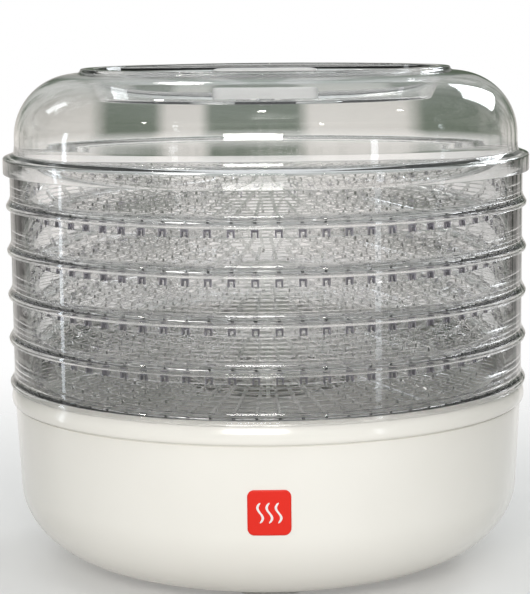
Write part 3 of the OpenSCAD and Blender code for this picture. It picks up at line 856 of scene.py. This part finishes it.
def make_lid():
    """Clear lid: skirt, sloping shoulder, dome, raised ring and the well with its vent openings."""
    shape = Shape()
    skirt_in = SKIRT_R - LID_T
    dome = [(ARC_R + EDGE_R, ARC_Z - 4 * MM, 1.5 * MM)] + arc(ARC_R, ARC_Z, EDGE_R, 0, 90, 28)
    under = arc(ARC_R, ARC_Z, EDGE_R - LID_T, 90, 0, 28)
    corners = [
        (WELL_EDGE_R, WELL_Z, 0), (WELL_R, WELL_Z, 1.5 * MM), (WELL_TOP_R, LID_HIGH.z, 0.9 * MM),
        (RING_R - 0.5 * MM, LID_HIGH.z, 0.9 * MM), (RING_R + 0.1 * MM, PLATEAU_Z + 1.2 * MM, 0.8 * MM),
        (RING_R + 1.7 * MM, PLATEAU_Z, 0.8 * MM),
    ] + list(reversed(dome)) + [
        (DOME_R, STACK_TOP + 3.7 * MM, 0.8 * MM), (SKIRT_R - 0.5 * MM, STACK_TOP + 1.4 * MM, 0.6 * MM),
        (SKIRT_R, STACK_TOP + 0.6 * MM, 0.4 * MM), (SKIRT_R, LID_LOW.z, 0.5 * MM),
        (skirt_in, LID_LOW.z, 0.5 * MM), (skirt_in, STACK_TOP, 0.4 * MM),
        (DOME_R - LID_T - 0.5 * MM, STACK_TOP, 0.8 * MM),
    ] + list(reversed(under)) + [
        (RING_R - 2.5 * MM, PLATEAU_Z - LID_T, 1.5 * MM), (WELL_TOP_R + 2 * MM, PLATEAU_Z - 3.5 * MM, 1 * MM),
        (WELL_R + 1.8 * MM, WELL_Z - LID_T, 1.2 * MM), (WELL_EDGE_R, WELL_Z - LID_T, 0),
    ]
    turn(shape, soften(corners, closed=False), closed=False)
    radii = [PIVOT_HOLE_R, *VENT_R, WELL_EDGE_R]
    plate(shape, radii, WELL_Z - LID_T, WELL_Z, lambda i, k: i != VENT_BAND or not in_vent(k), open_out=True)
    plate(shape, LUG_R, WELL_Z, WELL_Z + LUG_H, lambda i, k: is_lug(k))
    return place(shape.build("lid_clear", LID_CLEAR), "lid", "clear_plastic", "lid")


def make_vent_disc():
    """Clear slotted disc with its stop notch. At rest its openings stand over the lid's."""
    shape = Shape()
    notch_in_r = 82.5 * MM
    radii = [PIVOT_R, *VENT_R, notch_in_r, DISC_HIGH.x]
    rim_band = len(radii) - 2

    def solid(i, k):
        if i == VENT_BAND:
            return not in_vent(k)
        if i == rim_band:
            return not LUG_AT - TURN_ANGLE - LUG_ROOM < (k + 0.5) * 360 / COLUMNS < LUG_AT + LUG_ROOM
        return True

    plate(shape, radii, DISC_LOW.z, DISC_HIGH.z, solid)
    return place(shape.build("vent_disc_clear", LID_CLEAR), "vent", "clear_plastic", "vent_disc")


def make_vent_grip():
    """Frosted bar with a pinched waist and soft edges, and the pivot under it."""
    shape = Shape()
    half_w = (GRIP_HIGH.x - GRIP_LOW.x) / 2
    half_d = (GRIP_HIGH.y - GRIP_LOW.y) / 2
    low, high = DISC_HIGH.z, GRIP_HIGH.z
    waist = 0.8
    squareness = 0.3
    stations, steps = 40, 28
    rows = []
    for s in range(stations + 1):
        u = -math.cos(math.pi * s / stations)
        end = max(math.sqrt(max(1 - abs(u) ** 12, 0)), 0.02)
        depth = half_d * (waist + (1 - waist) * u * u) * end
        crown = (high - low) * (0.8 + 0.2 * end ** 0.6)
        row = []
        for k in range(steps + 1):
            a = math.pi * k / steps
            y = depth * math.copysign(abs(math.cos(a)) ** squareness, math.cos(a))
            row.append((u * half_w, y, low + crown * math.sin(a) ** squareness))
        rows.append(row)
    for a, b in zip(rows, rows[1:]):
        for k in range(steps):
            shape.face([a[k], a[k + 1], b[k + 1], b[k]])
        shape.face([a[0], a[-1], b[-1], b[0]])
    shape.face(rows[0])
    shape.face(rows[-1])
    clip_low, clip_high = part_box("vent_clip")
    groove_r = 3.2 * MM
    head_r = 3.8 * MM
    cylinder(shape, (0, 0), PIVOT_R, clip_high.z, low)
    cylinder(shape, (0, 0), groove_r, clip_low.z, clip_high.z)
    cylinder(shape, (0, 0), head_r, GRIP_LOW.z, clip_low.z)
    return place(shape.build("vent_grip_bar", FROSTED, 50), "vent", "frosted_plastic", "vent_grip")


# --------------------------------------------------------- camera, stage, light

def make_camera():
    """Stands where the photograph was taken: a little above the lid, looking slightly down."""
    pitch, roll = math.radians(7.99), -0.0094
    distance = 1240.3 * MM
    eye_over_seat = 221.65 * MM
    data = bpy.data.cameras.new("camera")
    data.lens = 119.84
    data.sensor_width = 36
    data.sensor_fit = "AUTO"
    data.clip_end = 50
    camera = bpy.data.objects.new("camera", data)
    bpy.context.scene.collection.objects.link(camera)
    at = Matrix.Translation((-1.3 * MM, -distance, SEAT_Z + eye_over_seat))
    camera.matrix_world = at @ Matrix.Rotation(math.pi / 2 - pitch, 4, "X") @ Matrix.Rotation(roll, 4, "Z")
    bpy.context.scene.camera = camera


def make_floor():
    """Pale floor that fades, from under the object outwards, into the even white around it."""
    material, shader, add = new_material("studio_floor")
    where = place_of(add)
    link(material, tones(add, noise(add, where, 3), (0.74, 0.735, 0.725), (0.78, 0.775, 0.765)),
         shader.inputs["Base Color"])
    shader.inputs["Roughness"].default_value = 0.55
    reach = add("ShaderNodeVectorMath", {0: where}, operation="LENGTH").outputs["Value"]
    fade = {"Value": reach, "From Min": 0.12, "From Max": 0.8, "To Min": 0.8, "To Max": 0}
    alpha = add("ShaderNodeMapRange", fade, interpolation_type="SMOOTHSTEP").outputs[0]
    link(material, alpha, shader.inputs["Alpha"])
    half = 2
    shape = Shape()
    shape.face([(-half, -half, 0), (half, -half, 0), (half, half, 0), (-half, half, 0)])
    shape.build("studio_floor", material)


def soft_light(name, at, size, power, colour, shape="RECTANGLE"):
    """Soft box or round lamp that faces the middle of the appliance."""
    middle = Vector((0, 0, 0.17))
    data = bpy.data.lights.new(name, "AREA")
    data.shape = shape
    data.size, data.size_y = size
    data.energy = power
    data.color = colour
    light = bpy.data.objects.new(name, data)
    light.location = at
    light.rotation_euler = (middle - Vector(at)).to_track_quat("-Z", "Y").to_euler()
    bpy.context.scene.collection.objects.link(light)


def room_tones(add, height):
    """Tones of the room's light and dark panels, from the floor below to the ceiling above."""
    light = ramp(add, height, (
        (0.0, (0.50, 0.48, 0.46)), (0.42, (1.0, 0.97, 0.94)), (0.49, (0.66, 0.63, 0.59)),
        (0.54, (0.40, 0.41, 0.38)), (0.8, (0.55, 0.57, 0.57)), (1.0, (0.95, 0.97, 1.0)),
    ))
    dark = ramp(add, height, (
        (0.0, (0.45, 0.43, 0.41)), (0.42, (0.88, 0.87, 0.85)), (0.475, (0.15, 0.18, 0.14)),
        (0.54, (0.10, 0.125, 0.09)), (0.8, (0.40, 0.44, 0.42)), (1.0, (0.95, 0.97, 1.0)),
    ))
    return light, dark


def panels_ahead(add, across):
    """1 on the dark panels that show through the lid: three of them, from left to right."""
    off, on = (0, 0, 0), (1, 1, 1)
    return ramp(add, across, (
        (0.17, off), (0.21, on), (0.3, on), (0.325, off),
        (0.385, off), (0.405, on), (0.56, on), (0.585, off),
        (0.76, off), (0.8, on),
    ))


def make_world():
    """White backdrop. What the plastic bends and mirrors is a soft grey room of dark and light panels."""
    world = bpy.data.worlds.new("studio")
    world.use_nodes = True
    tree = world.node_tree
    room = tree.nodes["Background"]
    add = adder(tree)
    towards = add("ShaderNodeTexCoord").outputs["Generated"]
    axes = add("ShaderNodeSeparateXYZ", {0: towards}).outputs
    height = add("ShaderNodeMapRange", {"Value": axes["Z"], "From Min": -1}).outputs[0]
    across = add("ShaderNodeMapRange", {"Value": axes["X"], "From Min": -0.15, "From Max": 0.15}).outputs[0]
    sideways = add("ShaderNodeMath", {0: axes["X"]}, operation="ABSOLUTE").outputs[0]

    upright = add("ShaderNodeMapping", {"Vector": towards, "Scale": (1, 1, 0.3)}).outputs[0]
    scattered = step_up(add, noise(add, upright, 15, 2), 0.47, 0.6)
    aside = add("ShaderNodeMapRange", {"Value": sideways, "From Min": 0.13, "From Max": 0.17}).outputs[0]
    panels = mixed(add, aside, panels_ahead(add, across), scattered)
    colours = mixed(add, panels, *room_tones(add, height), colour=True)

    patches = spread(add, noise(add, towards, 2.6, 1), 0.6, 1.4)
    sides = {"Value": sideways, "From Min": 0.45, "To Min": 1, "To Max": 0.35}
    dimmed = add("ShaderNodeMapRange", sides).outputs[0]
    tree.links.new(colours, room.inputs["Color"])
    tree.links.new(calculate(add, "MULTIPLY", patches, dimmed), room.inputs["Strength"])

    backdrop = add("ShaderNodeBackground", {"Color": (1, 1, 1, 1)})
    seen = add("ShaderNodeLightPath").outputs["Is Camera Ray"]
    mix = add("ShaderNodeMixShader", {0: seen, 1: room.outputs[0], 2: backdrop.outputs[0]})
    tree.links.new(mix.outputs[0], tree.nodes["World Output"].inputs["Surface"])
    bpy.context.scene.world = world


def make_lights():
    """A broad box in front, windows behind, strips at the sides and small lamps for sparkle."""
    soft_light("front_box", (-0.2, -2.1, 0.95), (0.95, 0.42), 23, (1, 0.985, 0.96))
    soft_light("ceiling_lamp", (-0.35, 1.5, 1.7), (0.14, 0.3), 0.8, (1, 0.98, 0.95))
    soft_light("window_box", (1.36, 1.62, 1.23), (0.8, 0.7), 13, (0.93, 0.97, 1))
    soft_light("far_window", (-1.63, 1.18, 1.25), (0.2, 0.45), 0.6, (0.93, 0.97, 1))
    soft_light("left_strip", (-2.1, 0.3, 0.25), (0.09, 0.8), 1.2, (0.86, 0.93, 1))
    soft_light("right_strip", (1.6, -1.5, 0.25), (0.12, 0.7), 1.2, (0.9, 0.95, 1))
    for x, y in ((-0.05, -1.3), (-1.2, 0.2), (2.3, -0.4), (1.45, -2.8), (-3.0, -1.6)):
        soft_light("downlight", (x, y, 2.6), (0.14, 0.14), 2, (1, 0.97, 0.92), "DISK")


def set_picture():
    """Colour handling and light paths that clear plastic needs."""
    scene = bpy.context.scene
    scene.view_settings.view_transform = "Standard"
    scene.cycles.max_bounces = 56
    scene.cycles.transmission_bounces = 56
    scene.cycles.transparent_max_bounces = 24
    scene.cycles.glossy_bounces = 8
    scene.cycles.diffuse_bounces = 4
    scene.cycles.sample_clamp_indirect = 6
    scene.cycles.blur_glossy = 0.5


make_camera()
make_bowl()
make_towers()
make_deck()
make_coil()
for foot in ("foot_front", "foot_left", "foot_back", "foot_right"):
    make_foot(foot)
make_badge()
make_badge_waves()
make_trays()
make_lid()
make_vent_disc()
make_vent_grip()
dress_carried_over()
make_floor()
make_world()
make_lights()
set_picture()
